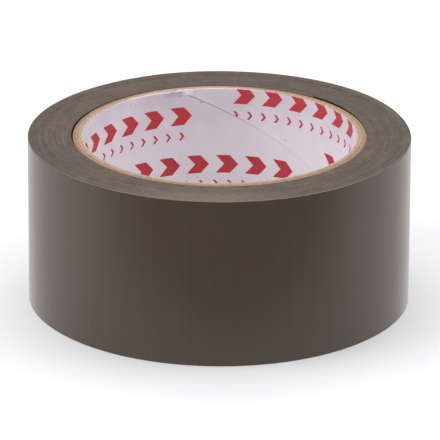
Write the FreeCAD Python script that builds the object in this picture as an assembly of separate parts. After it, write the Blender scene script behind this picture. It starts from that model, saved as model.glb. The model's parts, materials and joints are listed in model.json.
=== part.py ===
import FreeCAD
import Part
import math
import os

# A roll of brown packing tape that lies on one end.
# +Z runs along the roll's axis. The origin is the centre of the face that it lies on.
# Lengths are in millimetres. Angles are in degrees, counted from +X towards +Y.

# Driving sizes of the core and of what lines it
tape_width = 48.0
bore_radius = 38.1
ink_thickness = 0.05
liner_thickness = 0.15
liner_clearance = 0.03
core_inset = 0.15
ply_thickness = 1.35

# How far each ply of the core stops short of the core's ends, from the bore outwards
ply_drops = (0.0, 0.12)

# Driving sizes of the wound tape
winding_build = 12.1
film_thickness = 0.06
tape_end_angle = 112.0

# Sets of turns from the core outwards: each one's build, and how far it sits below the roll's ends
# The turns outside them are flush, and the roll stands on those
turn_sets = ((4.6, 0.05), (4.6, 0.12))

# Where the roll is out of round: the angle, the span and the height of each low swell or dip of its outside
swells = ((45.0, 90.0, 0.5), (130.0, 60.0, -0.25), (184.0, 80.0, 0.5), (350.0, 70.0, 0.38))
outline_arcs = 24

# Slack between the core and the first turns: a wedge beside the folded start, and a thin crescent
start_fold_angle = 50.0
start_wedge_span = 32.0
start_wedge_gap = 0.75
crescent_angle = 178.0
crescent_span = 56.0
crescent_gap = 0.42

# The liner is a paper strip that winds up the bore as a helix, with one butt seam
seam_lean = 26.5
seam_top_angle = 108.4
seam_width = 0.25

# The print on the strip: short level rows of bold chevrons, set out in columns along the strip
motif_columns = 3
column_spacing = 37.25
motif_spacing = 33.7
first_motif_run = 13.9
first_column_side = 8.0
column_shift = -2.7
chevron_count = 6
chevron_pitch = 8.4
chevron_height = 5.4
chevron_stroke = 4.0
chevron_point = 2.4
smallest_patch = 0.4

# Worked out from the driving sizes
liner_inner_radius = bore_radius + ink_thickness
liner_outer_radius = liner_inner_radius + liner_thickness
core_inner_radius = liner_outer_radius + liner_clearance
core_outer_radius = core_inner_radius + ply_thickness * len(ply_drops)
roll_radius = core_outer_radius + winding_build
core_bottom = core_inset
core_top = tape_width - core_inset
bore_length = 2 * math.pi * bore_radius
seam_pitch = bore_length * math.tan(math.radians(seam_lean))
strip_width = bore_length * math.sin(math.radians(seam_lean))

# How far a cutting tool runs past what it cuts
overrun = 2.0


def polar(radius, angle, z=0.0):
    """A point given by its distance from the axis, its angle and its height."""
    turn = math.radians(angle)
    return FreeCAD.Vector(radius * math.cos(turn), radius * math.sin(turn), z)


def ring(inner_radius, outer_radius, bottom, top):
    """A plain round ring about the axis."""
    foot = FreeCAD.Vector(0, 0, bottom)
    outer = Part.makeCylinder(outer_radius, top - bottom, foot)
    inner = Part.makeCylinder(inner_radius, top - bottom, foot)
    return outer.cut(inner)


def turned(section):
    """The solid that a closed section, given as radius and height pairs, sweeps round the axis."""
    points = [FreeCAD.Vector(radius, 0, z) for radius, z in section]
    face = Part.Face(Part.makePolygon(points + points[:1]))
    return face.revolve(FreeCAD.Vector(0, 0, 0), FreeCAD.Vector(0, 0, 1), 360)


def upright(edges):
    """The solid over a closed outline that lies at height zero, as tall as the tape is wide."""
    return Part.Face(Part.Wire(edges)).extrude(FreeCAD.Vector(0, 0, tape_width))


def arc_through(start, middle, end):
    return Part.Arc(start, middle, end).toShape()


# The wound tape


def swell_at(angle):
    """How far the outside of the winding stands off its round shape at that angle."""
    total = 0.0
    for place, span, height in swells:
        across = (angle - place + 180) % 360 - 180
        if abs(across) < span / 2:
            total += height * math.cos(math.pi * across / span) ** 2
    return total


def spiral_outline():
    """The outside of the winding: one turn that closes in by the film's thickness, and the step at its end."""
    points = []
    for index in range(2 * outline_arcs + 1):
        turned_back = index / (2 * outline_arcs)
        angle = tape_end_angle - 360 * turned_back
        points.append(polar(roll_radius - film_thickness * turned_back + swell_at(angle), angle))
    arcs = [arc_through(*points[start : start + 3]) for start in range(0, 2 * outline_arcs, 2)]
    return arcs + [Part.makeLine(points[-1], points[0])]


def start_wedge():
    """The slack that grows towards the folded start of the tape and stops at the fold."""
    thin_end = start_fold_angle - start_wedge_span
    tip = polar(core_outer_radius, thin_end)
    middle = polar(core_outer_radius + start_wedge_gap / 2, start_fold_angle - start_wedge_span / 2)
    fold = polar(core_outer_radius + start_wedge_gap, start_fold_angle)
    fold_inside = polar(core_outer_radius - overrun, start_fold_angle)
    tip_inside = polar(core_outer_radius - overrun, thin_end)
    return upright(
        [
            arc_through(tip, middle, fold),
            Part.makeLine(fold, fold_inside),
            Part.makeLine(fold_inside, tip_inside),
            Part.makeLine(tip_inside, tip),
        ]
    )


def slack_crescent():
    """The thin lens where the first turns stand off the core."""
    first = polar(core_outer_radius, crescent_angle - crescent_span / 2)
    middle = polar(core_outer_radius + crescent_gap, crescent_angle)
    last = polar(core_outer_radius, crescent_angle + crescent_span / 2)
    return upright([arc_through(first, middle, last), Part.makeLine(last, first)])


def space_over_sets():
    """What is missing over the sets of turns that sit low, on both ends of the roll."""
    cuts = []
    inner = core_outer_radius
    for build, drop in turn_sets:
        outer = inner + build
        cuts.append(ring(inner, outer, -overrun, drop))
        cuts.append(ring(inner, outer, tape_width - drop, tape_width + overrun))
        inner = outer
    return cuts


def tape_winding():
    """All the turns of the tape, wound tight, as one solid."""
    bore = Part.makeCylinder(core_outer_radius, tape_width)
    return upright(spiral_outline()).cut([bore, start_wedge(), slack_crescent()] + space_over_sets())


# The core


def paper_core():
    """The paperboard tube that the tape is wound on, alike at both ends, with its plies cut unevenly."""
    upper = []
    for index, drop in enumerate(ply_drops):
        inner = core_inner_radius + ply_thickness * index
        upper.append((inner, core_top - drop))
        upper.append((inner + ply_thickness, core_top - drop))
    lower = [(radius, tape_width - z) for radius, z in reversed(upper)]
    return turned(upper + lower)


# The liner


def helix_at(radius):
    """The seam's line at that radius, from below the core to above it."""
    bottom = core_bottom - overrun
    top = core_top + overrun
    start_angle = seam_top_angle - 360 * (core_top - bottom) / seam_pitch
    helix = Part.makeHelix(seam_pitch, top - bottom, radius)
    upright_axis = FreeCAD.Vector(0, 0, 1)
    helix.Placement = FreeCAD.Placement(
        FreeCAD.Vector(0, 0, bottom), FreeCAD.Rotation(upright_axis, start_angle)
    )
    return helix.Edges[0]


def seam_slit():
    """The thin space between the strip's two edges, where one turn of the strip meets the next."""
    rise = seam_width / math.cos(math.radians(seam_lean))
    inside = helix_at(liner_inner_radius - overrun)
    outside = helix_at(liner_outer_radius + overrun)
    wall = Part.makeRuledSurface(inside, outside)
    wall.translate(FreeCAD.Vector(0, 0, -rise / 2))
    return wall.extrude(FreeCAD.Vector(0, 0, rise))


def core_liner():
    """The white paper strip that lines the core."""
    sleeve = ring(liner_inner_radius, liner_outer_radius, core_bottom, core_top)
    return sleeve.cut(seam_slit())


# The print
# It is laid out on the liner unrolled: s runs along the bore, clockwise as seen from above, and z is the height.
# The seam line passes through s zero at the top of the core and rises as s falls.


def chevrons():
    """One row of bold chevrons, set out from its top left corner."""
    shapes = []
    for index in range(chevron_count):
        left = index * chevron_pitch
        right = left + chevron_stroke
        middle = -chevron_height / 2
        shapes.append(
            [
                (left, 0.0),
                (left + chevron_point, middle),
                (left, -chevron_height),
                (right, -chevron_height),
                (right + chevron_point, middle),
                (right, 0.0),
            ]
        )
    return shapes


def across_strip(s, z):
    """How far a point of the unrolled liner lies above the seam line, square to it."""
    lean = math.radians(seam_lean)
    return s * math.sin(lean) + (z - core_top) * math.cos(lean)


def strip_limits():
    """What bounds the print: the strip's two edges and the liner's two ends, each positive inside."""
    margin = seam_width / 2
    return (
        lambda s, z: across_strip(s, z) - margin,
        lambda s, z: strip_width - margin - across_strip(s, z),
        lambda s, z: z - core_bottom,
        lambda s, z: core_top - z,
    )


def kept_side(shape, inside):
    """The part of a flat shape where inside, a function of s and z, is positive."""
    kept = []
    for index, point in enumerate(shape):
        before = shape[index - 1]
        here, there = inside(*point), inside(*before)
        if (here > 0) != (there > 0):
            share = there / (there - here)
            kept.append(tuple(b + share * (p - b) for p, b in zip(point, before)))
        if here > 0:
            kept.append(point)
    return kept


def area(shape):
    total = 0.0
    for index, (s, z) in enumerate(shape):
        before_s, before_z = shape[index - 1]
        total += (before_s * z - s * before_z) / 2
    return abs(total)


def motif_corners():
    """The top left corner of every row that can touch the liner."""
    lean = math.radians(seam_lean)
    row_length = chevron_pitch * chevron_count
    reach = bore_length / math.cos(lean) + tape_width
    for column in range(motif_columns):
        side = first_column_side + column * column_spacing
        run = first_motif_run + column * column_shift
        while run > -row_length:
            run -= motif_spacing
        while run < reach:
            s = run * math.cos(lean) + side * math.sin(lean)
            z = core_top - run * math.sin(lean) + side * math.cos(lean)
            yield s, z
            run += motif_spacing


def print_shapes():
    """Every printed shape, cut off at the seam and at the liner's ends."""
    shapes = []
    for corner_s, corner_z in motif_corners():
        for drawn in chevrons():
            shape = [(corner_s + s, corner_z + z) for s, z in drawn]
            for inside in strip_limits():
                shape = kept_side(shape, inside)
            if area(shape) > smallest_patch:
                shapes.append(shape)
    return shapes


def radial_prism(shape):
    """A flat shape of the unrolled liner, stood square to the wall at its own middle and pushed through it."""
    turns = [seam_top_angle - math.degrees(s / bore_radius) for s, _ in shape]
    middle = (min(turns) + max(turns)) / 2
    outward = polar(1.0, middle)
    sideways = polar(1.0, middle + 90)
    points = []
    for turn, (_, z) in zip(turns, shape):
        offset = bore_radius * math.sin(math.radians(turn - middle))
        points.append(outward * (bore_radius - overrun) + sideways * offset + FreeCAD.Vector(0, 0, z))
    face = Part.Face(Part.makePolygon(points + points[:1]))
    return face.extrude(outward * 2 * overrun)


def liner_print():
    """The red print, as thin fields of colour on the liner."""
    film = ring(bore_radius, liner_inner_radius, core_bottom, core_top)
    return film.common(Part.Compound([radial_prism(shape) for shape in print_shapes()]))


def main():
    os.makedirs("parts", exist_ok=True)
    nodes = {
        "tape_winding": tape_winding(),
        "paper_core": paper_core(),
        "core_liner": core_liner(),
        "liner_print": liner_print(),
    }
    for name, shape in nodes.items():
        Part.Compound(shape.Solids).exportStep("parts/" + name + ".step")
        print(name, len(shape.Solids), "solids", round(shape.Volume, 1), "mm3, valid", shape.isValid())


main()
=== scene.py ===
import json
import math
import bmesh
import bpy
import numpy as np
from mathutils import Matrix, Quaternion, Vector

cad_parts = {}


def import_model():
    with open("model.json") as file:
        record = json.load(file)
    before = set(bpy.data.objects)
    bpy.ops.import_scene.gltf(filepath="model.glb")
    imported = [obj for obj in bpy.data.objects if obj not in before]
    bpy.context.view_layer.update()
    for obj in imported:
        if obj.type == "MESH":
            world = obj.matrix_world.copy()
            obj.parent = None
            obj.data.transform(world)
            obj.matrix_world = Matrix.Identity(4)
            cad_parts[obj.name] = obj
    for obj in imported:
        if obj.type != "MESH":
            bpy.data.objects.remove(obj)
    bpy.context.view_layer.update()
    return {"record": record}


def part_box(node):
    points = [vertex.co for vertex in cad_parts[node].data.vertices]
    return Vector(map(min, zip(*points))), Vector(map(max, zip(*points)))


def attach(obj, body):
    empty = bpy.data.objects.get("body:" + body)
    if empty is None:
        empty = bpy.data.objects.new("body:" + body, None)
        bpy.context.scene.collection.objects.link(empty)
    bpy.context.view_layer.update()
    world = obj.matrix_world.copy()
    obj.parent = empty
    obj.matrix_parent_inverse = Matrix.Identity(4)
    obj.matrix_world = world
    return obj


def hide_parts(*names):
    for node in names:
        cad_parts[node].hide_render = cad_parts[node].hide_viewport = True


# A roll of brown packing tape that lies on one end, with a printed paper liner in its core.
# Blender works in metres. Sizes here are in millimetres, times MM.
# Angles are in degrees, counted from +X towards +Y, and the camera looks along +Y.

MM = 0.001

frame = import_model()
tape_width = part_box("tape_winding")[1].z
core_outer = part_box("paper_core")[1].x
core_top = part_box("paper_core")[1].z
liner_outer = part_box("core_liner")[1].x
bore_radius = frame["record"]["mounts"][0]["dims"]["r_mm"] * MM

# The winding, as in the solids
film_thickness = 0.06 * MM
tape_end_angle = 112.0
turn_sets = ((4.6 * MM, 0.05 * MM), (4.6 * MM, 0.12 * MM))
swells = (
    (45.0, 90.0, 0.5 * MM),
    (130.0, 60.0, -0.25 * MM),
    (184.0, 80.0, 0.5 * MM),
    (350.0, 70.0, 0.38 * MM),
)
start_fold_angle = 50.0
start_wedge_span = 32.0
start_wedge_gap = 0.75 * MM
fold_tail_span = 75.0
crescent_angle = 178.0
crescent_span = 56.0
crescent_gap = 0.42 * MM
winding_build = 12.1 * MM
roll_radius = core_outer + winding_build

# The core and its liner, as in the solids
ply_drops = (0.0, 0.0, 0.12 * MM, 0.12 * MM)
ply_thickness = 0.675 * MM
core_inner = core_outer - ply_thickness * len(ply_drops)
ink_thickness = 0.05 * MM
liner_inner = bore_radius + ink_thickness
seam_lean = 26.5
seam_top_angle = 108.4
seam_width = 0.25 * MM
bore_length = 2 * math.pi * bore_radius
seam_pitch = bore_length * math.tan(math.radians(seam_lean))
strip_width = bore_length * math.sin(math.radians(seam_lean))

# The print on the strip, as in the solids, with a row of small ticks under each row of chevrons
motif_columns = 3
column_spacing = 37.25 * MM
motif_spacing = 33.7 * MM
first_motif_run = 13.9 * MM
first_column_side = 8.0 * MM
column_shift = -2.7 * MM
chevron_count = 6
chevron_pitch = 8.4 * MM
chevron_height = 5.4 * MM
chevron_stroke = 4.0 * MM
chevron_point = 2.4 * MM
tick_count = 12
tick_pitch = 4.05 * MM
tick_drop = 7.6 * MM
tick_height = 2.4 * MM
tick_width = 0.7 * MM
tick_point = 0.9 * MM
slice_width = 0.7 * MM

# Marks that the photo shows on the film and the paper, by their angle or their place; several are painted
# light and shade
end_seen_near = 5.0
end_seen_far = 10.0
# Where the end face is painted lighter towards the front, as a painted sheen
sheen_side = -5.0 * MM
sheen_near = 8.0 * MM
sheen_far = 24.0 * MM
sheen_start = -41.0 * MM
sheen_full = -50.0 * MM
# Where the bore's top edge is painted light
lit_edge_angle = 92.0
peel_angle = 103.8
# Where the liner has a painted shadow under its peeled top edge
peel_shadow_angle = 110.0
fluff_angle = 104.0


# Meshes


def mesh_object(name, vertices, faces, face_slots, materials):
    """A smooth-shaded object at the origin, with a material slot for each face."""
    mesh = bpy.data.meshes.new(name)
    mesh.from_pydata([tuple(v) for v in vertices], [], [tuple(f) for f in faces])
    for material in materials:
        mesh.materials.append(material)
    mesh.polygons.foreach_set("material_index", np.asarray(face_slots, dtype=np.int32))
    mesh.polygons.foreach_set("use_smooth", np.ones(len(mesh.polygons), dtype=bool))
    mesh.update()
    piece = bpy.data.objects.new(name, mesh)
    bpy.context.scene.collection.objects.link(piece)
    return piece


def sharpen(piece, angle):
    """Marks as sharp the edges that turn by more than that angle, in degrees."""
    mesh = bmesh.new()
    mesh.from_mesh(piece.data)
    limit = math.radians(angle)
    for edge in mesh.edges:
        if len(edge.link_faces) == 2 and edge.calc_face_angle(0.0) > limit:
            edge.smooth = False
    mesh.to_mesh(piece.data)
    mesh.free()


def swept_ring(name, rows, angles, materials):
    """A closed ring from rows that run up its outside, in over the top, down the bore and out below.

    Each row is a radius and a height at each angle, and the slot of the faces up to the next row.
    """
    turns = np.radians(angles)
    count = len(angles)
    vertices = []
    for radius, height, _ in rows:
        radius = np.broadcast_to(radius, turns.shape)
        height = np.broadcast_to(height, turns.shape)
        vertices.append(np.stack((radius * np.cos(turns), radius * np.sin(turns), height), axis=-1))
    here = np.arange(count)
    after = (here + 1) % count
    faces = []
    slots = []
    for index, (_, _, slot) in enumerate(rows):
        low = index * count
        high = (index + 1) % len(rows) * count
        faces.append(np.stack((low + here, low + after, high + after, high + here), axis=-1))
        slots += [slot] * count
    return mesh_object(name, np.concatenate(vertices), np.concatenate(faces), slots, materials)


def ripple(angles, seed, lowest, highest, height):
    """A smooth random wave round the circle, of about that height, of orders between two limits."""
    random = np.random.default_rng(seed)
    orders = np.arange(lowest, highest + 1)
    phases = random.uniform(0, 2 * np.pi, orders.size)
    sizes = random.normal(size=orders.size)
    waves = sizes[:, None] * np.cos(orders[:, None] * np.radians(angles)[None, :] + phases[:, None])
    return height * waves.sum(axis=0) / math.sqrt((sizes**2).sum())


def smooth_step(value):
    share = np.clip(value, 0.0, 1.0)
    return share * share * (3 - 2 * share)


# Materials


def add_node(tree, kind, inputs=None, **settings):
    """A new node with its settings, and with each input either set or linked from another node's output."""
    node = tree.nodes.new(kind)
    for name, value in settings.items():
        setattr(node, name, value)
    for key, value in (inputs or {}).items():
        if isinstance(value, bpy.types.NodeSocket):
            tree.links.new(value, node.inputs[key])
        else:
            node.inputs[key].default_value = value
    return node


def maths(tree, operation, *values):
    inputs = dict(enumerate(values))
    return add_node(tree, "ShaderNodeMath", inputs, operation=operation).outputs[0]


def times(tree, first, second):
    return maths(tree, "MULTIPLY", first, second)


def vector_maths(tree, operation, inputs):
    node = add_node(tree, "ShaderNodeVectorMath", inputs, operation=operation)
    return node.outputs["Value" if operation in ("LENGTH", "DOT_PRODUCT") else "Vector"]


def new_material(name):
    """An empty node material, its tree and its Principled shader."""
    material = bpy.data.materials.new(name)
    material.use_nodes = True
    tree = material.node_tree
    tree.nodes.clear()
    shader = add_node(tree, "ShaderNodeBsdfPrincipled")
    output = add_node(tree, "ShaderNodeOutputMaterial")
    tree.links.new(shader.outputs[0], output.inputs["Surface"])
    return material, tree, shader


def round_place(tree):
    """The direction from the axis, the distance from it, the height, and X and Y, at each point."""
    place = add_node(tree, "ShaderNodeTexCoord").outputs["Object"]
    parts = add_node(tree, "ShaderNodeSeparateXYZ", {0: place}).outputs
    flat = add_node(tree, "ShaderNodeCombineXYZ", {0: parts[0], 1: parts[1]}).outputs[0]
    direction = vector_maths(tree, "NORMALIZE", {0: flat})
    return direction, vector_maths(tree, "LENGTH", {0: flat}), parts[2], parts[0], parts[1]


def towards(tree, angle, near, far):
    """One within near degrees of an angle round the roll, and nothing beyond far degrees."""
    turn = math.radians(angle)
    heading = (math.cos(turn), math.sin(turn), 0.0)
    along = vector_maths(tree, "DOT_PRODUCT", {0: round_place(tree)[0], 1: heading})
    return mapped(tree, along, math.cos(math.radians(far)), math.cos(math.radians(near)), 0.0, 1.0)


def beside(tree, angle):
    """How far each point lies anticlockwise of the upright plane from the axis at that angle, in metres."""
    _, _, _, x, y = round_place(tree)
    turn = math.radians(angle)
    along_y = times(tree, y, math.cos(turn))
    return maths(tree, "SUBTRACT", along_y, times(tree, x, math.sin(turn)))


def round_coordinates(tree, around, outward, upward):
    """Seamless coordinates for noise: cells per radian, per metre of radius and per metre of height."""
    direction, distance, level, _, _ = round_place(tree)
    circle = vector_maths(tree, "SCALE", {0: direction, "Scale": around})
    radius = times(tree, distance, outward)
    height = times(tree, level, upward)
    rise = add_node(tree, "ShaderNodeCombineXYZ", {2: maths(tree, "ADD", radius, height)}).outputs[0]
    return vector_maths(tree, "ADD", {0: circle, 1: rise})


def noise(tree, coordinates, detail=2.0, roughness=0.5):
    inputs = {"Vector": coordinates, "Scale": 1.0, "Detail": detail, "Roughness": roughness}
    return add_node(tree, "ShaderNodeTexNoise", inputs).outputs[0]


def mapped(tree, value, from_low, from_high, to_low, to_high):
    inputs = {0: value, 1: from_low, 2: from_high, 3: to_low, 4: to_high}
    return add_node(tree, "ShaderNodeMapRange", inputs).outputs[0]


def spread(tree, pattern, start=0.3, full=0.7):
    """A share that follows a pattern, from nothing at start to one at full."""
    return mapped(tree, pattern, start, full, 0.0, 1.0)


def mixed(tree, share, first, second):
    """Two colours mixed by a share, each one given as red, green and blue or linked."""
    node = add_node(tree, "ShaderNodeMix", data_type="RGBA")
    for key, value in (("Factor", share), ("A", first), ("B", second)):
        socket = [s for s in node.inputs if s.name == key and s.enabled][0]
        if isinstance(value, bpy.types.NodeSocket):
            tree.links.new(value, socket)
        elif key == "Factor":
            socket.default_value = value
        else:
            socket.default_value = (*value, 1.0)
    return [s for s in node.outputs if s.enabled][0]


def tinted(tree, shade, tint, pattern, start, full, most):
    """A colour mixed with a tint that follows a pattern, from nothing at start to most at full."""
    return mixed(tree, mapped(tree, pattern, start, full, 0.0, most), shade, tint)


def bumped(tree, height, distance, strength=1.0, normal=None):
    inputs = {"Height": height, "Distance": distance, "Strength": strength}
    if normal is not None:
        inputs["Normal"] = normal
    return add_node(tree, "ShaderNodeBump", inputs).outputs[0]


def film_face_material():
    """The outside of the film: smooth brown polypropylene with faint upright tension streaks.

    The cut end of the last turn catches the light, and the turn below it is in its shade.
    """
    material, tree, shader = new_material("brown_film_face")
    streaks = noise(tree, round_coordinates(tree, 55.0, 0.0, 14.0), 3.0)
    broad = noise(tree, round_coordinates(tree, 9.0, 0.0, 30.0), 2.0)
    shade = mixed(tree, spread(tree, streaks), (0.066, 0.0440, 0.0310), (0.072, 0.0485, 0.0345))
    from_end = beside(tree, tape_end_angle)
    past_end = maths(tree, "GREATER_THAN", from_end, 0.0)
    near_end = towards(tree, tape_end_angle, end_seen_near, end_seen_far)
    glint = maths(tree, "SUBTRACT", spread(tree, from_end, -0.30 * MM, -0.05 * MM), past_end)
    shade = mixed(tree, times(tree, glint, near_end), shade, (0.17, 0.125, 0.098))
    shadow = times(tree, mapped(tree, from_end, 0.15 * MM, 0.45 * MM, 0.8, 0.0), past_end)
    shade = mixed(tree, times(tree, shadow, near_end), shade, (0.014, 0.009, 0.007))
    tree.links.new(shade, shader.inputs["Base Color"])
    tree.links.new(mapped(tree, broad, 0.3, 0.7, 0.17, 0.24), shader.inputs["Roughness"])
    tree.links.new(bumped(tree, streaks, 0.004 * MM), shader.inputs["Normal"])
    shader.inputs["Specular IOR Level"].default_value = 0.5
    shader.inputs["IOR"].default_value = 1.49
    return material


def film_edge_material():
    """The cut edges of the turns: duller and warmer than the film's face, in fine rings, with smears, and a
    painted sheen towards the front.
    """
    material, tree, shader = new_material("brown_film_edges")
    _, _, _, side, away = round_place(tree)
    turns = noise(tree, round_coordinates(tree, 2.0, 5200.0, 0.0), 2.0)
    bands = noise(tree, round_coordinates(tree, 0.8, 1100.0, 0.0), 3.0)
    arcs = noise(tree, round_coordinates(tree, 1.6, 2100.0, 0.0), 1.0)
    grain = noise(tree, round_coordinates(tree, 75.0, 1500.0, 0.0), 3.0, 0.7)
    smears = noise(tree, round_coordinates(tree, 48.0, 420.0, 0.0), 4.0, 0.65)
    clouds = noise(tree, round_coordinates(tree, 9.0, 240.0, 0.0), 3.0, 0.6)
    specks = noise(tree, round_coordinates(tree, 170.0, 3600.0, 0.0), 1.0)
    rings = maths(tree, "ADD", times(tree, turns, 0.45), times(tree, bands, 0.55))
    shade = mixed(tree, spread(tree, rings, 0.36, 0.64), (0.054, 0.0355, 0.0250), (0.115, 0.0765, 0.0540))
    tints = (
        ((0.060, 0.045, 0.036), clouds, 0.48, 0.70, 0.7),
        ((0.155, 0.108, 0.082), clouds, 0.50, 0.30, 0.4),
        ((0.175, 0.130, 0.102), smears, 0.50, 0.75, 0.45),
        ((0.036, 0.026, 0.020), arcs, 0.60, 0.70, 0.6),
        ((0.20, 0.155, 0.122), arcs, 0.38, 0.30, 0.35),
        ((0.048, 0.034, 0.026), grain, 0.50, 0.72, 0.45),
        ((0.19, 0.145, 0.112), grain, 0.48, 0.28, 0.45),
    )
    for tint in tints:
        shade = tinted(tree, shade, *tint)
    # Painted sheen: the end face's colour grows lighter towards the front, broken up by the smears
    from_sheen = maths(tree, "ABSOLUTE", maths(tree, "SUBTRACT", side, sheen_side))
    painted_sheen = spread(tree, away, sheen_start, sheen_full)
    painted_sheen = times(tree, painted_sheen, mapped(tree, from_sheen, sheen_near, sheen_far, 1.0, 0.15))
    painted_sheen = times(tree, painted_sheen, mapped(tree, smears, 0.3, 0.7, 0.35, 0.75))
    shade = mixed(tree, painted_sheen, shade, (0.21, 0.16, 0.128))
    shade = tinted(tree, shade, (0.34, 0.29, 0.25), specks, 0.74, 0.80, 0.7)
    tree.links.new(shade, shader.inputs["Base Color"])
    tree.links.new(mapped(tree, bands, 0.3, 0.7, 0.44, 0.56), shader.inputs["Roughness"])
    shader.inputs["Specular IOR Level"].default_value = 0.3
    relief = bumped(tree, rings, 0.03 * MM)
    tree.links.new(bumped(tree, smears, 0.02 * MM, normal=relief), shader.inputs["Normal"])
    return material


def film_rim_material():
    """The two rims of the roll, where the outermost turns' bevel is painted pale as a painted highlight."""
    material, tree, shader = new_material("brown_film_rim")
    rim_highlight = noise(tree, round_coordinates(tree, 40.0, 0.0, 0.0), 3.0, 0.6)
    # Painted highlight: the rim's pale colour stands for light caught by the cut edge
    shade = mixed(tree, spread(tree, rim_highlight, 0.35, 0.65), (0.13, 0.100, 0.080), (0.30, 0.25, 0.21))
    tree.links.new(shade, shader.inputs["Base Color"])
    shader.inputs["Roughness"].default_value = 0.35
    return material


def film_bore_material():
    """The sticky side of the folded first turns: painted near black as shade in the gaps, and painted brown
    along its top edge where light reaches it.
    """
    material, tree, shader = new_material("brown_film_bore")
    patches = noise(tree, round_coordinates(tree, 30.0, 0.0, 500.0), 2.0)
    # Painted shade: the sticky side is near black to stand for the shade in the gaps
    shade = mixed(tree, spread(tree, patches), (0.006, 0.004, 0.003), (0.016, 0.010, 0.008))
    level = round_place(tree)[2]
    # Painted light: a warm brown band along the top edge, on the back side
    lit = spread(tree, level, tape_width - 0.5 * MM, tape_width - 0.2 * MM)
    lit = times(tree, lit, towards(tree, lit_edge_angle, 28.0, 50.0))
    shade = mixed(tree, lit, shade, (0.24, 0.145, 0.095))
    tree.links.new(shade, shader.inputs["Base Color"])
    shader.inputs["Roughness"].default_value = 0.6
    shader.inputs["Specular IOR Level"].default_value = 0.15
    return material


def paperboard_material():
    """Kraft paperboard: plies of different tans, with fibres and flecks, the outermost soaked with glue."""
    material, tree, shader = new_material("kraft_paperboard")
    _, distance, _, side, _ = round_place(tree)
    fibres = noise(tree, round_coordinates(tree, 90.0, 3800.0, 1500.0), 4.0, 0.65)
    blotches = noise(tree, round_coordinates(tree, 14.0, 700.0, 300.0), 3.0)
    flecks = noise(tree, round_coordinates(tree, 70.0, 1800.0, 1800.0), 2.0, 0.6)
    leftward = mapped(tree, side, -30 * MM, 30 * MM, 1.0, 0.0)
    shade = mixed(tree, spread(tree, fibres), (0.27, 0.165, 0.096), (0.57, 0.395, 0.262))
    shade = tinted(tree, shade, (0.38, 0.23, 0.13), blotches, 0.50, 0.72, 0.45)
    pale_ply = mapped(tree, distance, core_outer - 1.1 * MM, core_outer - 1.5 * MM, 0.0, 0.6)
    pale_ply = times(tree, pale_ply, mapped(tree, fibres, 0.35, 0.6, 0.4, 1.0))
    shade = mixed(tree, pale_ply, shade, (0.62, 0.455, 0.325))
    whitened = spread(tree, distance, core_inner + 0.75 * MM, core_inner + 0.15 * MM)
    whitened = times(tree, whitened, mapped(tree, leftward, 0.0, 1.0, 0.8, 0.4))
    shade = mixed(tree, whitened, shade, (0.62, 0.475, 0.425))
    torn_off = mapped(tree, fibres, 0.35, 0.6, 0.25, 0.9)
    torn_off = times(tree, towards(tree, fluff_angle, 10.0, 30.0), torn_off)
    shade = mixed(tree, torn_off, shade, (0.60, 0.48, 0.44))
    shade = tinted(tree, shade, (0.21, 0.125, 0.078), flecks, 0.53, 0.64, 0.65)
    ply_place = maths(tree, "DIVIDE", maths(tree, "SUBTRACT", distance, core_inner), ply_thickness)
    from_joint = maths(tree, "PINGPONG", ply_place, 0.5)
    glue_line = mapped(tree, from_joint, 0.05, 0.14, 0.65, 0.0)
    shade = mixed(tree, glue_line, shade, (0.25, 0.14, 0.075))
    soaked = spread(tree, distance, core_outer - 0.9 * MM, core_outer - 0.2 * MM)
    soaked = times(tree, soaked, mapped(tree, blotches, 0.3, 0.6, 0.5, 0.95))
    soaked = times(tree, soaked, mapped(tree, leftward, 0.0, 1.0, 0.15, 1.0))
    shade = mixed(tree, soaked, shade, (0.30, 0.160, 0.085))
    tree.links.new(shade, shader.inputs["Base Color"])
    shader.inputs["Roughness"].default_value = 0.85
    tree.links.new(bumped(tree, fibres, 0.09 * MM), shader.inputs["Normal"])
    return material


def liner_material():
    """White coated paper with painted shade, a faint lavender grey near its top, a painted shadow beside
    the seam's top, and a few specks of dirt.
    """
    material, tree, shader = new_material("white_liner_paper")
    _, _, level, _, _ = round_place(tree)
    fibres = noise(tree, round_coordinates(tree, 60.0, 0.0, 1600.0), 4.0, 0.6)
    clouds = noise(tree, round_coordinates(tree, 5.0, 0.0, 110.0), 3.0)
    specks = noise(tree, round_coordinates(tree, 34.0, 0.0, 900.0), 0.0)
    shade = mixed(tree, spread(tree, fibres), (0.84, 0.80, 0.845), (0.88, 0.845, 0.885))
    # Painted shade: the paper turns lavender grey towards its top, where less light reaches
    painted_top_shade = mapped(tree, level, 28 * MM, 46 * MM, 0.0, 0.95)
    painted_top_shade = times(tree, painted_top_shade, mapped(tree, clouds, 0.35, 0.65, 0.75, 1.25))
    shade = mixed(tree, painted_top_shade, shade, (0.68, 0.63, 0.69))
    shade = tinted(tree, shade, (0.20, 0.15, 0.17), specks, 0.845, 0.87, 0.65)
    # Painted shadow: a lavender patch under the peeled top edge, beside the seam's top
    peel_shadow = mapped(tree, level, 45.6 * MM, 47 * MM, 0.0, 0.8)
    peel_shadow = times(tree, towards(tree, peel_shadow_angle, 2.0, 6.0), peel_shadow)
    shade = mixed(tree, peel_shadow, shade, (0.52, 0.455, 0.565))
    peeled = mapped(tree, level, 46 * MM, 46.8 * MM, 0.0, 0.9)
    peeled = times(tree, towards(tree, peel_angle, 1.0, 2.8), peeled)
    shade = mixed(tree, peeled, shade, (0.93, 0.88, 0.90))
    tree.links.new(shade, shader.inputs["Base Color"])
    shader.inputs["Roughness"].default_value = 0.55
    creases = bumped(tree, clouds, 0.25 * MM)
    tree.links.new(bumped(tree, fibres, 0.02 * MM, normal=creases), shader.inputs["Normal"])
    return material


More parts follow.
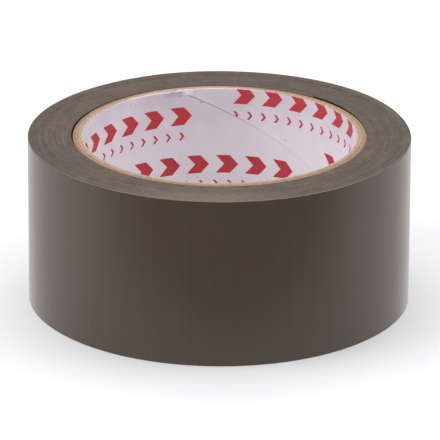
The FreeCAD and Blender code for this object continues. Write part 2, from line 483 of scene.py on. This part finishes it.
def torn_paper_material():
    """The liner's raw cut edge: bright white fluff at the back, and dulled by the paperboard elsewhere."""
    material, tree, shader = new_material("white_torn_paper")
    fluff = noise(tree, round_coordinates(tree, 200.0, 3000.0, 3000.0), 3.0, 0.7)
    share = spread(tree, fluff)
    bright = mixed(tree, share, (0.74, 0.69, 0.70), (0.93, 0.91, 0.92))
    dull = mixed(tree, share, (0.45, 0.35, 0.31), (0.62, 0.51, 0.48))
    shade = mixed(tree, towards(tree, fluff_angle, 22.0, 42.0), dull, bright)
    tree.links.new(shade, shader.inputs["Base Color"])
    shader.inputs["Roughness"].default_value = 0.9
    tree.links.new(bumped(tree, fluff, 0.05 * MM), shader.inputs["Normal"])
    return material


def ink_material():
    """Red printing ink, a little uneven where the paper shows through."""
    material, tree, shader = new_material("red_print_ink")
    grain = noise(tree, round_coordinates(tree, 140.0, 0.0, 3600.0), 3.0, 0.6)
    shade = tinted(tree, (0.52, 0.024, 0.037), (0.62, 0.095, 0.110), grain, 0.45, 0.8, 0.5)
    tree.links.new(shade, shader.inputs["Base Color"])
    shader.inputs["Roughness"].default_value = 0.5
    tree.links.new(bumped(tree, grain, 0.01 * MM), shader.inputs["Normal"])
    return material


# The wound tape

rim_bevel = 0.14 * MM
rim_margin = 0.3 * MM
ring_spacing = 0.14 * MM
under_ring_spacing = 0.24 * MM
turn_relief = 0.018 * MM
upper_end_seed = 21
lower_end_seed = 22
wall_ripple = 0.005 * MM
wall_seed = 5
wall_waves = (8, 60)
step_width = 0.10 * MM
settle_depth = 1.6 * MM


def winding_angles():
    """Even steps round the roll, with a close pair at the tape's end and at the fold."""
    even = np.linspace(0, 360, 400, endpoint=False)
    pairs = [a + side for a in (tape_end_angle, start_fold_angle) for side in (-0.02, 0.02)]
    return np.sort(np.append(even, pairs))


def outside_radius(angles):
    """The outside's radius: it falls by the film's thickness over the turn, with low swells and dips."""
    radius = roll_radius - film_thickness * np.mod(tape_end_angle - angles, 360) / 360
    for place, span, height in swells:
        across = np.mod(angles - place + 180, 360) - 180
        cosine = np.cos(np.pi * across / span)
        radius = radius + height * np.where(np.abs(across) < span / 2, cosine**2, 0)
    return radius


def slack(angles):
    """How far the first turns stand off the core: the wedge with its fold, and the crescent."""
    rise = smooth_step((angles - start_fold_angle + start_wedge_span) / start_wedge_span) ** 0.8
    tail = 1 - smooth_step((angles - start_fold_angle) / fold_tail_span)
    wedge = start_wedge_gap * rise * tail
    across = (angles - crescent_angle) / (crescent_span / 2)
    crescent = crescent_gap * np.clip(1 - across**2, 0, 1)
    return wedge, crescent


def set_drop(distance):
    """How low the set of turns at that distance from the core sits."""
    start = 0.0
    for build, drop in turn_sets:
        if start <= distance < start + build:
            return drop
        start += build
    return 0.0


def ring_distances(spacing):
    """How far an end face's rings lie from the core, the rim's first, with a pair at each set's edge."""
    edges = np.cumsum([build for build, _ in turn_sets])
    pairs = np.concatenate((edges - step_width, edges + step_width))
    even = np.arange(spacing, winding_build - 2 * rim_bevel, spacing)
    clear = np.abs(even[:, None] - pairs[None, :]).min(axis=1) > step_width / 4
    return sorted((*even[clear], *pairs), reverse=True)


def end_rows(angles, outer, stand_off, spacing, seed):
    """Radius and depth below the end plane of each ring on an end face, from the rim inwards."""
    random = np.random.default_rng(seed)
    rows = []
    level = 0.0
    for index, distance in enumerate(ring_distances(spacing)):
        level = 0.55 * level + random.normal() * turn_relief
        share = distance / winding_build
        settled = math.exp(-((distance / settle_depth) ** 2))
        radius = core_outer + (outer - core_outer) * share + stand_off * settled
        waves = ripple(angles, seed * 1000 + index, 1, 9, 0.3 * turn_relief)
        rows.append((radius, set_drop(distance) + np.abs(level + waves)))
    return rows


def wound_tape():
    angles = winding_angles()
    outer = outside_radius(angles)
    wedge, crescent = slack(angles)
    stand_off = wedge + crescent
    gap = np.where(angles < start_fold_angle, wedge, 0) + crescent
    face, edge, rim, bore = 0, 1, 2, 3
    rows = []
    between_rims = np.linspace(rim_bevel + rim_margin, tape_width - rim_bevel - rim_margin, 9)
    for height in (rim_bevel, *between_rims, tape_width - rim_bevel):
        wave = ripple(angles, wall_seed, *wall_waves, wall_ripple) * (0.7 + 0.3 * math.sin(height * 90))
        rows.append((outer - np.abs(wave), height, face))
    rows.append((outer - 0.3 * rim_bevel, tape_width - 0.3 * rim_bevel, rim))
    rows.append((outer - rim_bevel, tape_width, edge))
    for radius, depth in end_rows(angles, outer, stand_off, ring_spacing, upper_end_seed):
        rows.append((radius, tape_width - depth, edge))
    rows.append((core_outer + gap, tape_width - set_drop(0) - turn_relief, bore))
    rows.append((core_outer + gap, set_drop(0) + turn_relief, edge))
    for radius, depth in reversed(end_rows(angles, outer, stand_off, under_ring_spacing, lower_end_seed)):
        rows.append((radius, depth, edge))
    rows.append((outer - rim_bevel, 0.0, rim))
    rows.append((outer - 0.3 * rim_bevel, 0.3 * rim_bevel, face))
    materials = [film_face_material(), film_edge_material(), film_rim_material(), film_bore_material()]
    piece = swept_ring("wound_tape", rows, angles, materials)
    sharpen(piece, 40)
    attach(piece, "root")
    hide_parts("tape_winding")


# The core

ply_groove = 0.05 * MM
fuzz = 0.025 * MM
core_angle_steps = 540
core_chamfer = 0.22 * MM
upper_plies_seed = 31
lower_plies_seed = 32


def ply_rows(angles, seed):
    """Radius and depth of the rows over the core's end, from the outside in: each ply is of two sheets."""
    rows = []
    for index in reversed(range(len(ply_drops))):
        inner = core_inner + ply_thickness * index
        for half in (1, 0):
            start = inner + ply_thickness * half / 2
            for share, dip in ((0.94, 1.0), (0.75, 0.1), (0.5, 0.0), (0.25, 0.1), (0.06, 1.0)):
                key = seed * 100 + len(rows)
                rough = ripple(angles, key, 40, 200, fuzz) + ripple(angles, key + 50, 2, 20, fuzz)
                depth = ply_drops[index] + ply_groove * dip + np.abs(rough)
                rows.append((start + ply_thickness / 2 * share, depth))
    return rows


def card_core():
    angles = np.linspace(0, 360, core_angle_steps, endpoint=False)
    core_bottom = tape_width - core_top
    rows = [(core_outer, core_bottom + core_chamfer, 0), (core_outer, core_top - core_chamfer, 0)]
    for radius, depth in ply_rows(angles, upper_plies_seed):
        rows.append((radius, core_top - depth, 0))
    rows.append((core_inner, core_top - core_chamfer, 0))
    rows.append((core_inner, core_bottom + core_chamfer, 0))
    for radius, depth in reversed(ply_rows(angles, lower_plies_seed)):
        rows.append((radius, core_bottom + depth, 0))
    piece = swept_ring("card_core", rows, angles, [paperboard_material()])
    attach(piece, "root")
    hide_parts("paper_core")


# The liner and its print
# Both are laid out unrolled: s runs along the bore, clockwise as seen from above, and z is the height.
# The seam line passes through s zero at the top of the core and rises as s falls.

lift_angle = 113.0
lift_span = 11.0
lift_depth = 4.5 * MM
lift_height = 0.60 * MM
crease_height = 0.12 * MM
crease_turns = 17
crease_slant = 5
seam_lift = 0.07 * MM
seam_lift_width = 1.2 * MM
seam_width_low = 0.10 * MM
seam_open_depth = 14.0 * MM
seam_width_shut = 0.02 * MM
seam_shut_depth = 1.1 * MM
fray = 0.06 * MM
fray_seed = 41
liner_columns = 470
liner_rows = 60
flare_depth = 0.3 * MM
flare_out = 0.16 * MM
strip_slope = math.radians(seam_lean)
print_levels = np.array([6.0, 5.0, 4.0, 3.0, 2.2, 1.5, 1.0, 0.6, 0.3, 0.2, 0.1]) * MM


def liner_radius(angles, heights):
    """The liner's inner radius: round, flared at both ends, lifted at the seam, and most beside its top."""
    across = (np.mod(angles - lift_angle + 180, 360) - 180) / lift_span
    down = (core_top - heights) / lift_depth
    within = np.clip(1 - across**2, 0, 1)
    above = np.clip(1 - down, 0, 1)
    lift = lift_height * within**2 * above**2
    creases = crease_height * np.sin(across * crease_turns + down * crease_slant) * within * above
    run = np.radians(seam_top_angle - angles) * bore_radius
    side = np.mod(run * math.sin(strip_slope) + (heights - core_top) * math.cos(strip_slope), strip_width)
    edge = seam_lift * np.clip(1 - side / seam_lift_width, 0, 1) ** 2
    into_top = np.clip(1 - (core_top - heights) / flare_depth, 0, 1)
    into_bottom = np.clip(1 - (heights - (tape_width - core_top)) / flare_depth, 0, 1)
    return liner_inner - lift - creases - edge + flare_out * (into_top**2 + into_bottom**2)


def paper_liner():
    """The strip as one sheet, from one side of the seam round to the other."""
    core_bottom = tape_width - core_top
    near_seam = np.array([0.0, 0.2, 0.45, 0.75, 1.1]) * MM / (bore_length * math.sin(strip_slope))
    share = np.concatenate((near_seam, np.linspace(0.006, 1, liner_columns)))[:, None]
    columns = share.size
    ends = np.array([0.0, 0.1, 0.2, 0.3, 0.6]) * MM
    middle = np.linspace(core_bottom + 1.2 * MM, core_top - 1.2 * MM, liner_rows)
    level = np.concatenate((core_bottom + ends, middle, core_top - ends[::-1]))[None, :]
    opened = smooth_step(1 - (core_top - level) / seam_open_depth)
    shut = 1 - smooth_step((core_top - level) / seam_shut_depth - 1)
    gap_width = seam_width_low + (seam_width - seam_width_low) * opened
    gap_width = gap_width + (seam_width_shut - gap_width) * shut
    seam_gap = np.degrees(gap_width / bore_radius / math.sin(strip_slope))
    seam_angle = seam_top_angle - 360 * (core_top - level) / seam_pitch
    angles = seam_angle + seam_gap / 2 + share * (360 - seam_gap)
    frayed = ripple(angles[:, -1], fray_seed, 20, 160, fray)[:, None] * (level > core_top - 0.2 * MM)
    heights = np.broadcast_to(level, angles.shape) + frayed
    inner = liner_radius(angles, heights)
    outer = inner + (liner_outer - liner_inner)
    turns = np.radians(angles)
    sides = [np.stack((r * np.cos(turns), r * np.sin(turns), heights), axis=-1) for r in (inner, outer)]
    vertices = np.concatenate([side.reshape(-1, 3) for side in sides])
    rows = level.size
    size = columns * rows
    here = (np.arange(columns - 1)[:, None] * rows + np.arange(rows - 1)[None, :]).ravel()
    inside = np.stack((here, here + 1, here + rows + 1, here + rows), axis=-1)
    faces = [inside, inside[:, ::-1] + size]
    bottom = np.arange(columns - 1) * rows
    top = bottom + rows - 1
    faces.append(np.stack((bottom, bottom + rows, bottom + rows + size, bottom + size), axis=-1))
    faces.append(np.stack((top, top + size, top + rows + size, top + rows), axis=-1))
    first = np.arange(rows - 1)
    last = first + (columns - 1) * rows
    faces.append(np.stack((first, first + size, first + size + 1, first + 1), axis=-1))
    faces.append(np.stack((last, last + 1, last + size + 1, last + size), axis=-1))
    faces = np.concatenate(faces)
    piece = mesh_object("paper_liner", vertices, faces, [0] * len(faces), [liner_material()])
    sharpen(piece, 50)
    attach(piece, "root")
    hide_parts("core_liner")


fluff_span = 38.0
fluff_reach = 0.17 * MM
fluff_rise = 0.05 * MM
fluff_hang = 0.17 * MM
fluff_steps = 1500
upper_fluff_seed = 61
lower_fluff_seed = 71


def torn_edge(name, seed, upper):
    """The liner's fluffy cut edge at one end: it lies over the core's edge, ragged and uneven."""
    angles = np.linspace(0, 360, fluff_steps, endpoint=False)
    end = core_top if upper else tape_width - core_top
    out = 1 if upper else -1
    across = (np.mod(angles - fluff_angle + 180, 360) - 180) / fluff_span
    worn = np.clip(1 - across**2, 0, 1)
    broad = np.clip(0.35 + 1.3 * worn + ripple(angles, seed, 6, 36, 0.25) * (1 + 2 * worn), 0.1, 2.6)
    ragged = np.abs(ripple(angles, seed + 1, 60, 420, 0.7)) + 0.25
    reach = fluff_reach * broad * ragged
    rise = fluff_rise * (0.3 + np.abs(ripple(angles, seed + 2, 40, 400, 0.8)) * broad)
    hang = fluff_hang * (0.4 + np.abs(ripple(angles, seed + 3, 30, 300, 0.6))) * (0.5 + broad)
    inner = liner_radius(angles, end - out * hang) - 0.5 * ink_thickness
    crest = liner_radius(angles, np.full_like(angles, end))
    rows = [
        (crest + 0.1 * MM, end - out * hang, 0),
        (inner, end - out * hang, 0),
        (crest - 0.5 * ink_thickness, end + out * 0.5 * rise, 0),
        (crest + 0.3 * reach, end + out * rise, 0),
        (crest + 0.1 * MM + reach, end + out * 0.6 * rise, 0),
        (crest + 0.1 * MM + reach, end - out * 0.05 * MM, 0),
    ]
    piece = swept_ring(name, rows[::-1] if upper else rows, angles, [torn_paper_material()])
    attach(piece, "root")


def slanted(left, top, width, height, lean):
    """A bar between two level lines, its foot moved sideways by the lean."""
    foot = top - height
    return [(left, top), (left + lean, foot), (left + lean + width, foot), (left + width, top)]


def chevron(left, top, stroke, height, point):
    """A chevron as two slanted bars that meet halfway down."""
    upper = slanted(left, top, stroke, height / 2, point)
    lower = slanted(left + point, top - height / 2, stroke, height / 2, -point)
    return [upper, lower]


def motif():
    """A row of bold chevrons and a row of small thin ones under it, from its top left corner."""
    shapes = []
    for index in range(chevron_count):
        shapes += chevron(index * chevron_pitch, 0.0, chevron_stroke, chevron_height, chevron_point)
    for index in range(tick_count):
        shapes += chevron(index * tick_pitch, -tick_drop, tick_width, tick_height, tick_point)
    return shapes


def kept_side(shape, inside):
    """The part of a flat shape where inside, a function of s and z, is positive."""
    kept = []
    for index, point in enumerate(shape):
        before = shape[index - 1]
        here, there = inside(*point), inside(*before)
        if (here > 0) != (there > 0):
            share = there / (there - here)
            kept.append(tuple(b + share * (p - b) for p, b in zip(point, before)))
        if here > 0:
            kept.append(point)
    return kept


def strip_limits():
    """What bounds the print: the strip's two edges and the liner's two ends, each positive inside."""
    margin = seam_width / 2

    def across(s, z):
        return s * math.sin(strip_slope) + (z - core_top) * math.cos(strip_slope)

    return (
        lambda s, z: across(s, z) - margin,
        lambda s, z: strip_width - margin - across(s, z),
        lambda s, z: z - (tape_width - core_top),
        lambda s, z: core_top - z,
    )


def motif_corners():
    """The top left corner of every motif that can touch the liner."""
    row_length = chevron_pitch * chevron_count
    reach = bore_length / math.cos(strip_slope) + tape_width
    for column in range(motif_columns):
        side = first_column_side + column * column_spacing
        run = first_motif_run + column * column_shift
        while run > -row_length:
            run -= motif_spacing
        while run < reach:
            s = run * math.cos(strip_slope) + side * math.sin(strip_slope)
            z = core_top - run * math.sin(strip_slope) + side * math.cos(strip_slope)
            yield s, z
            run += motif_spacing


def cut_across(shape, axis, places):
    """A flat shape cut at rising places along one of its two axes."""
    parts = []
    rest = shape
    for place in places:
        below = kept_side(rest, lambda *point: place - point[axis])
        rest = kept_side(rest, lambda *point: point[axis] - place)
        if len(below) > 2:
            parts.append(below)
    if len(rest) > 2:
        parts.append(rest)
    return parts


def sliced(shape):
    """A flat shape cut into upright slices and, near the liner's top, across, to follow the paper."""
    low = min(s for s, _ in shape)
    high = max(s for s, _ in shape)
    sides = np.arange(math.floor(low / slice_width), math.ceil(high / slice_width)) * slice_width
    slices = cut_across(shape, 0, sides)
    return [part for upright in slices for part in cut_across(upright, 1, core_top - print_levels)]


def fixed_order(parts, key):
    """Puts a mesh's corners or faces in an order that is the same each run, which an extrusion's isn't."""
    for number, part in enumerate(sorted(parts, key=key)):
        part.index = number
    parts.sort()


def printed_marks():
    """The red shapes, each a thin raised patch that follows the liner."""
    flat = bmesh.new()
    for corner_s, corner_z in motif_corners():
        for drawn in motif():
            shape = [(corner_s + s, corner_z + z) for s, z in drawn]
            for inside in strip_limits():
                shape = kept_side(shape, inside)
            for part in sliced(shape) if shape else []:
                flat.faces.new([flat.verts.new((s, z, 0.0)) for s, z in part])
    bmesh.ops.remove_doubles(flat, verts=flat.verts, dist=0.001 * MM)
    bmesh.ops.dissolve_degenerate(flat, edges=flat.edges, dist=0.0005 * MM)
    raised = bmesh.ops.extrude_face_region(flat, geom=flat.faces[:])
    for item in raised["geom"]:
        if isinstance(item, bmesh.types.BMVert):
            item.co.z = 1.0
    for vertex in flat.verts:
        s, z, up = vertex.co
        angle = seam_top_angle - math.degrees(s / bore_radius)
        radius = float(liner_radius(np.array(angle), np.array(z))) - up * ink_thickness
        turn = math.radians(angle)
        vertex.co = (radius * math.cos(turn), radius * math.sin(turn), z)
    bmesh.ops.recalc_face_normals(flat, faces=flat.faces)
    fixed_order(flat.verts, lambda vertex: tuple(vertex.co))
    fixed_order(flat.faces, lambda face: sorted(vertex.index for vertex in face.verts))
    mesh = bpy.data.meshes.new("printed_marks")
    flat.to_mesh(mesh)
    flat.free()
    mesh.materials.append(ink_material())
    piece = bpy.data.objects.new("printed_marks", mesh)
    bpy.context.scene.collection.objects.link(piece)
    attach(piece, "root")
    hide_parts("liner_print")


# The studio

camera_lens = 418.3
camera_elevation = 21.09
camera_distance = 1435.6 * MM
camera_roll = 0.26
camera_aim = Vector((0.19, 0.0, 22.34)) * MM
floor_size = 4.0
floor_drop = 0.02 * MM
floor_light = (0.9, 0.9, 0.91, 1.0)
floor_seen = (0.84, 0.845, 0.86, 1.0)
floor_glow = 0.14
mirror_front = -0.13
mirror_back = -0.01
mirror_dim = 0.15
mirror_bright = 1.05
mirror_lean = -0.16
white = (1.0, 1.0, 1.0, 1.0)
sky_light = 0.7
sky_seen = 1.0

# Each lamp's name, place and size in metres, and power in watts
softboxes = (
    ("left_softbox", (-0.9, -0.2, 0.52), 0.7, 4.2),
    ("right_softbox", (0.9, 0.0, 0.5), 0.7, 2.6),
    ("top_softbox", (0.0, 0.42, 1.08), 0.9, 3.9),
)


def camera():
    """The photograph's view: a long lens, a little above the roll."""
    data = bpy.data.cameras.new("camera")
    data.sensor_width = 36.0
    data.lens = camera_lens
    data.clip_start = 0.1
    data.clip_end = 20.0
    eye = bpy.data.objects.new("camera", data)
    lean = math.radians(camera_elevation)
    back = Vector((0.0, -math.cos(lean), math.sin(lean)))
    eye.location = camera_aim + back * camera_distance
    turn = back.to_track_quat("Z", "Y") @ Quaternion((0, 0, 1), math.radians(camera_roll))
    eye.rotation_euler = turn.to_euler()
    bpy.context.scene.collection.objects.link(eye)
    bpy.context.scene.camera = eye


def floor():
    """A white floor. The camera sees it brighter than it lights the roll, with the roll's shadow on it.

    In the roll's reflections it is darker in front and bright behind.
    """
    half = floor_size / 2
    outline = ((-half, -half), (half, -half), (half, half), (-half, half))
    corners = [(x, y, -floor_drop) for x, y in outline]
    material = bpy.data.materials.new("studio_floor")
    material.use_nodes = True
    tree = material.node_tree
    tree.nodes.clear()
    path = add_node(tree, "ShaderNodeLightPath").outputs
    place = add_node(tree, "ShaderNodeTexCoord").outputs["Object"]
    parts = add_node(tree, "ShaderNodeSeparateXYZ", {0: place}).outputs
    leftward = maths(tree, "MAXIMUM", times(tree, parts[0], mirror_lean), 0.0)
    depth = maths(tree, "ADD", parts[1], leftward)
    lighting = add_node(tree, "ShaderNodeBsdfDiffuse", {"Color": floor_light}).outputs[0]
    shaded = add_node(tree, "ShaderNodeBsdfDiffuse", {"Color": floor_seen}).outputs[0]
    glow = add_node(tree, "ShaderNodeEmission", {"Color": white, "Strength": floor_glow}).outputs[0]
    seen = add_node(tree, "ShaderNodeAddShader", {0: shaded, 1: glow}).outputs[0]
    for_camera = {0: path["Is Camera Ray"], 1: lighting, 2: seen}
    direct = add_node(tree, "ShaderNodeMixShader", for_camera).outputs[0]
    limits = {0: depth, 1: mirror_front, 2: mirror_back, 3: mirror_dim, 4: mirror_bright}
    fade = add_node(tree, "ShaderNodeMapRange", limits, interpolation_type="SMOOTHSTEP").outputs[0]
    mirrored = add_node(tree, "ShaderNodeEmission", {"Color": white, "Strength": fade}).outputs[0]
    for_mirror = {0: path["Is Glossy Ray"], 1: direct, 2: mirrored}
    shown = add_node(tree, "ShaderNodeMixShader", for_mirror).outputs[0]
    output = add_node(tree, "ShaderNodeOutputMaterial")
    tree.links.new(shown, output.inputs["Surface"])
    plane = mesh_object("studio_floor", corners, [(0, 1, 2, 3)], [0], [material])


def world():
    """Even white light from all round, pure white where the camera looks past the floor."""
    sky = bpy.data.worlds.new("studio")
    bpy.context.scene.world = sky
    sky.use_nodes = True
    tree = sky.node_tree
    tree.nodes.clear()
    path = add_node(tree, "ShaderNodeLightPath").outputs
    strength = mapped(tree, path["Is Camera Ray"], 0.0, 1.0, sky_light, sky_seen)
    light = add_node(tree, "ShaderNodeBackground", {"Color": white, "Strength": strength})
    output = add_node(tree, "ShaderNodeOutputWorld")
    tree.links.new(light.outputs[0], output.inputs["Surface"])


def softbox(name, place, size, power):
    """A square lamp with a wide soft face, aimed at the middle of the roll."""
    data = bpy.data.lights.new(name, "AREA")
    data.shape = "SQUARE"
    data.size = size
    data.energy = power
    lamp = bpy.data.objects.new(name, data)
    lamp.location = place
    aim = Vector((0.0, 0.0, tape_width / 2)) - Vector(place)
    lamp.rotation_euler = aim.to_track_quat("-Z", "Y").to_euler()
    lamp.visible_camera = False
    bpy.context.scene.collection.objects.link(lamp)


def studio():
    camera()
    floor()
    world()
    for lamp in softboxes:
        softbox(*lamp)
    bpy.context.scene.view_settings.view_transform = "Standard"


studio()
wound_tape()
card_core()
paper_liner()
torn_edge("upper_torn_edge", upper_fluff_seed, True)
torn_edge("lower_torn_edge", lower_fluff_seed, False)
printed_marks()
